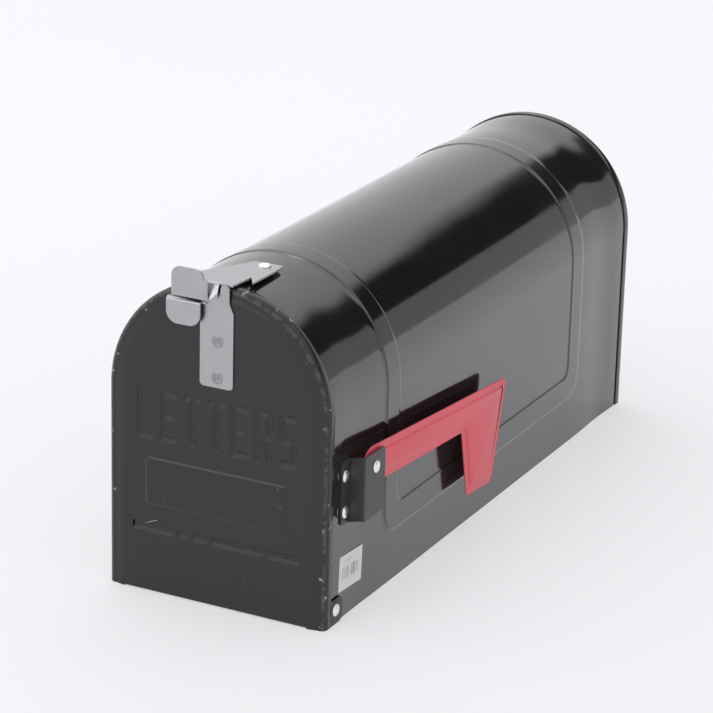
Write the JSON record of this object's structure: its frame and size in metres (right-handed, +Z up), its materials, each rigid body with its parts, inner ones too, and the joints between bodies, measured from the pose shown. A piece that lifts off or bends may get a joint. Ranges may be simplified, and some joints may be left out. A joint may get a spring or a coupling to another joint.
{
  "type": "post-top mailbox",
  "caption": "Arched sheet-steel mailbox with a drop-down front door, a sprung top latch and a side flag; open under the floor for a mounting board.",
  "frame": {"origin": "middle of the floor's underside, where the mounting board bears", "axes": "+Z up, the door faces -Y, +X is the flag side"},
  "size_m": [0.1839, 0.5156, 0.2398],
  "materials": {
    "black_paint": "gloss black enamel on galvanised sheet",
    "red_paint": "semi-gloss red enamel",
    "zinc_sheet": "bright galvanised steel strip",
    "rivet_metal": "bright aluminium",
    "label_stock": "matt white sticker"
  },
  "bodies": {
    "box": {"body_shell": "black_paint", "floor_panel": "black_paint", "back_panel": "black_paint", "hinge_rivet_right": "rivet_metal", "hinge_rivet_left": "rivet_metal", "flag_bracket": "black_paint", "bracket_rivets": "rivet_metal", "flag_rivet": "rivet_metal", "price_label": "label_stock"},
    "door": {"door_panel": "black_paint", "door_catch": "zinc_sheet", "catch_rivets": "zinc_sheet"},
    "latch": {"latch_spring": "zinc_sheet", "latch_rivet": "rivet_metal"},
    "flag": {"flag": "red_paint"}
  },
  "joints": [
    {"name": "door_hinge", "type": "hinge", "parent": "box", "child": "door", "pos_m": [0, -0.239, -0.0082], "axis": [1, 0, 0], "range_deg": [0, 94]},
    {"name": "latch_flex", "type": "hinge", "parent": "box", "child": "latch", "pos_m": [0.0076, -0.2045, 0.208], "axis": [-1, 0, 0], "range_deg": [0, 3], "stiffness_Nm_per_rad": 1.5, "springref_deg": -1.72},
    {"name": "flag_pivot", "type": "hinge", "parent": "box", "child": "flag", "pos_m": [0.0941, -0.208, 0.0867], "axis": [1, 0, 0], "range_deg": [0, 94.9]}
  ]
}
